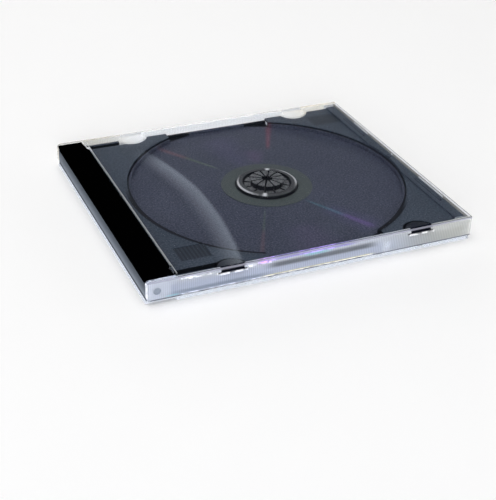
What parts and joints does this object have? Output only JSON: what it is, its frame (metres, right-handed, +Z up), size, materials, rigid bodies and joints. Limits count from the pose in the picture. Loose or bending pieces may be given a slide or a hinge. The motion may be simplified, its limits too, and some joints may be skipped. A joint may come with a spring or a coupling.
{
  "type": "cd jewel case",
  "caption": "Clear hinged case, empty, with a black inner tray whose spring rosette holds one disc; the lid swings on two moulded pins.",
  "frame": {"origin": "on the resting plane, under the middle of the closed case", "axes": "+X from the hinge spine to the opening edge, +Y along the spine, +Z up out of the lid"},
  "size_m": [0.142, 0.125, 0.0104],
  "materials": {
    "clear_lid": "clear polished moulded plastic",
    "clear_base": "clear moulded plastic with faint ribbing",
    "black_tray": "black moulded plastic, smooth strip and satin plates"
  },
  "bodies": {
    "case_back": {"base": "clear_base", "tray": "black_tray"},
    "cover": {"lid": "clear_lid"}
  },
  "joints": [
    {"name": "lid_hinge", "type": "hinge", "parent": "case_back", "child": "cover", "pos_m": [-0.0665, 0, 0.0052], "axis": [0, -1, 0], "range_deg": [0, 180]}
  ]
}
